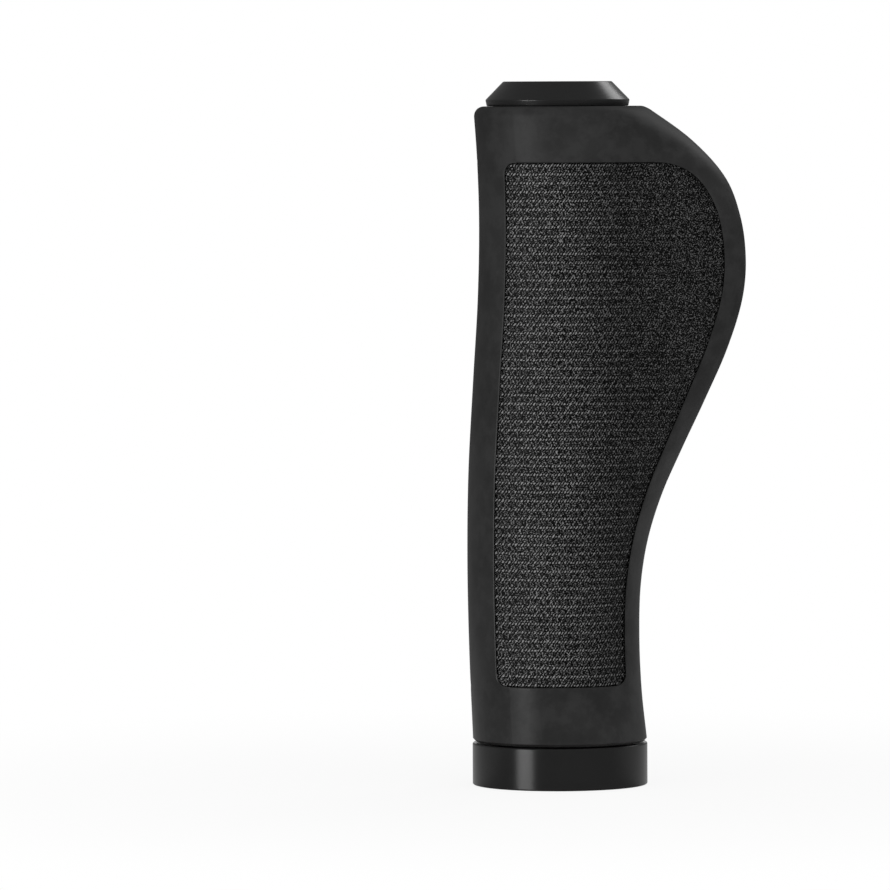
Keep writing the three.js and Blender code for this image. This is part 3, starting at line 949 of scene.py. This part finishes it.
def end_cap():
    """The cap: a cone on a rim that comes down to the rubber, and a hollow ribbed plug
    with rounded edges."""
    inside = PLUG_RADIUS - PLUG_WALL
    outline = [
        (0, CAP_RIM), (inside, CAP_RIM), (inside, -PLUG_LENGTH),
        (PLUG_RADIUS - PLUG_LEAD / 2, -PLUG_LENGTH), (PLUG_RADIUS, PLUG_LEAD - PLUG_LENGTH),
    ]
    for number in range(PLUG_RIBS):
        middle = -PLUG_LENGTH + (number + 1) * PLUG_LENGTH / (PLUG_RIBS + 1)
        outline += [
            (PLUG_RADIUS, middle - PLUG_RIB_WIDTH / 2), (PLUG_RADIUS + PLUG_RIB_RISE, middle),
            (PLUG_RADIUS, middle + PLUG_RIB_WIDTH / 2),
        ]
    outline += [
        (PLUG_RADIUS, -FLANGE_DROP), (CAP_RADIUS - FLANGE_TAPER, -FLANGE_DROP),
        (CAP_RADIUS, CAP_RIM), (CAP_RADIUS - CAP_CONE_SLOPE, CAP_RIM + CAP_CONE_HEIGHT),
        (0, CAP_RIM + CAP_CONE_HEIGHT),
    ]
    seated = [(radius, height + CAP_SEAT) for radius, height in outline]
    cap = turned(seated, steps=160, close=False)
    soften(cap, CAP_EDGE, segments=3, least_angle=30)
    return finished("end_cap_gloss", cap, cap_finish(), sharp_angle=30)


def core_sleeve():
    """The sleeve on the bar, with the lugs that key it to the ring."""
    sleeve = turned([
        (BORE_RADIUS, RUBBER_LOW), (SLEEVE_RADIUS, RUBBER_LOW),
        (SLEEVE_RADIUS, RUBBER_HIGH), (BORE_RADIUS, RUBBER_HIGH),
    ], steps=120)
    half = LUG_WIDTH / 2 / SLEEVE_RADIUS
    feet = []
    for face in sleeve.faces:
        middle = face.calc_center_median()
        if face.normal.z > -0.9:
            continue
        turn = math.atan2(middle.y, middle.x)
        away = min(abs(math.remainder(turn - math.radians(a), 2 * math.pi)) for a in LUG_ANGLES)
        if away < half:
            feet.append(face)
    lugs = bmesh.ops.extrude_face_region(sleeve, geom=feet)
    bmesh.ops.translate(
        sleeve, vec=(0, 0, -LUG_LENGTH * MM),
        verts=[item for item in lugs["geom"] if isinstance(item, bmesh.types.BMVert)],
    )
    bmesh.ops.delete(sleeve, geom=feet, context="FACES_ONLY")
    soften(sleeve, SLEEVE_EDGE, least_angle=40)
    return finished("core_sleeve_moulding", sleeve, core_finish(), sharp_angle=35)


PIECES = [
    (rubber_body, "rubber_body", "rubber"),
    (palm_panel, "palm_panel", "panel"),
    (core_sleeve, "core_sleeve", "core"),
    (clamp_ring, "clamp_ring", "ring"),
    (clamp_screw, "clamp_screw", "screw"),
    (end_cap, "end_cap", "cap"),
]
for make, node, slot in PIECES:
    piece = make()
    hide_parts(node)
    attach(piece, "root")


# Floor, world, lamps and camera

# How bright the surroundings are in gloss, as a share of white: all round but straight
# behind the grip, and on the floor close beside and behind the ring
FRONT_GLOSS = 0.18
NEAR_GLOSS = 0.45

# Strength of the fill from the camera's side and from behind
FILL_FRONT = 1.35
FILL_BEHIND = 0.55

# The floor's half width in metres, its drop in mm below the ring and the share of plain
# white in it for the camera at the ring, where the rest is lit and shaded
FLOOR_HALF = 6.0
FLOOR_DROP = 0.1
SHADOW_WHITE = 0.88

# Places in metres and angles in degrees
GRIP_MIDDLE = Vector((0.005, 0, 0.067))
CAMERA_PLACE = (0, -1.468, 0.1324)
CAMERA_LENS = 312.5
CAMERA_TURN = 0.845
CAMERA_DIP = 2.641
CAMERA_ROLL = -0.263


def surroundings(behind):
    """The brightness in gloss from how far a direction points straight behind."""
    return FRONT_GLOSS + behind.ramp(0.975, 1.0) * (1 - FRONT_GLOSS)


def rays(nodes):
    """1 for rays from the camera, and 1 for rays from gloss or through glass."""
    path = nodes.tree.nodes.new("ShaderNodeLightPath")
    camera, glossy, through = (
        Value(nodes, path.outputs[name])
        for name in ("Is Camera Ray", "Is Glossy Ray", "Is Transmission Ray")
    )
    return camera, glossy.most(through)


def floor():
    """A white floor that keeps a soft shadow round the ring. In gloss it is white straight
    behind the grip, lighter close beside and behind the ring, and dim elsewhere."""
    mesh = bmesh.new()
    bmesh.ops.create_grid(mesh, x_segments=8, y_segments=8, size=FLOOR_HALF)
    nodes = Finish("floor", Roughness=0.9, Base_Color=grey(0.9))
    camera, gloss = rays(nodes)
    away = nodes.add("ShaderNodeVectorMath", {"operation": "LENGTH"}, {0: nodes.place}, "Value")
    _, behind, _ = (value * MM for value in nodes.axes())
    seen = camera * (SHADOW_WHITE + away.ramp(0.04, 0.2) * (1 - SHADOW_WHITE))
    near = (1.0 - away.ramp(0.12, 0.3)) * (behind / away).ramp(-0.7, -0.1) * NEAR_GLOSS
    sweep = surroundings(behind / away).most(near)
    glow = nodes.add(
        "ShaderNodeEmission", {}, {"Color": grey(1.0), "Strength": camera.most(sweep)},
    )
    lit = Value(nodes, nodes.shader.outputs[0])
    shown = nodes.add("ShaderNodeMixShader", {}, {0: seen.most(gloss), 1: lit, 2: glow})
    surface = nodes.tree.nodes["Material Output"].inputs["Surface"]
    nodes.tree.links.new(shown.output, surface)
    piece = in_scene("floor", mesh)
    piece.data.materials.append(nodes.material)
    piece.location.z = -FLOOR_DROP * MM


def world():
    """White to the camera, and straight behind the grip in gloss, with a fill that is
    strongest from the camera's side."""
    scene.world = bpy.data.worlds.new("studio")
    scene.world.use_nodes = True
    nodes = Nodes(scene.world.node_tree)
    nodes.tree.nodes.clear()
    camera, gloss = rays(nodes)
    split = nodes.tree.nodes.new("ShaderNodeSeparateXYZ")
    heading = nodes.add("ShaderNodeTexCoord", output="Generated")
    nodes.tree.links.new(heading.output, split.inputs[0])
    behind = Value(nodes, split.outputs["Y"])
    fill = FILL_FRONT - behind.ramp(-1.0, 0.3) * (FILL_FRONT - FILL_BEHIND)
    diffuse = (1.0 - camera) * (1.0 - gloss)
    strength = camera.most(gloss * surroundings(behind)).most(diffuse * fill)
    lit = nodes.add("ShaderNodeBackground", {}, {"Color": grey(1.0), "Strength": strength})
    out = nodes.tree.nodes.new("ShaderNodeOutputWorld")
    nodes.tree.links.new(lit.output, out.inputs["Surface"])


def lamp(name, azimuth, elevation, distance, size, power):
    """A soft box that faces the grip's middle. Azimuth 0 is the camera's side and 90 the
    wing's side, in degrees; distance and size are in metres. On the front edge's side it
    only makes the highlight, and the fill lights that side."""
    light = bpy.data.lights.new(name, "AREA")
    light.shape = "RECTANGLE"
    light.size, light.size_y = size
    light.energy = power
    turn, rise = math.radians(azimuth), math.radians(elevation)
    away = Vector((
        math.sin(turn) * math.cos(rise), -math.cos(turn) * math.cos(rise), math.sin(rise),
    ))
    holder = bpy.data.objects.new(name, light)
    holder.location = GRIP_MIDDLE + away * distance
    holder.rotation_euler = away.to_track_quat("Z", "Y").to_euler()
    holder.visible_diffuse = azimuth > 0
    scene.collection.objects.link(holder)


def camera():
    """A long lens on the palm's side, a little above the cap's height."""
    data = bpy.data.cameras.new("camera")
    data.sensor_width = 36.0
    data.lens = CAMERA_LENS
    data.clip_end = 50.0
    holder = bpy.data.objects.new("camera", data)
    holder.location = CAMERA_PLACE
    holder.rotation_euler = (
        Matrix.Rotation(math.radians(CAMERA_TURN), 3, "Z")
        @ Matrix.Rotation(math.radians(90 - CAMERA_DIP), 3, "X")
        @ Matrix.Rotation(math.radians(CAMERA_ROLL), 3, "Z")
    ).to_euler()
    scene.collection.objects.link(holder)
    scene.camera = holder


floor()
world()
lamp("soft box left", -47, 1.5, 0.8, (0.3, 0.18), 2.3)
lamp("soft box right rear", 143, 36, 0.9, (0.25, 0.3), 0.7)
camera()
scene.view_settings.view_transform = "Standard"
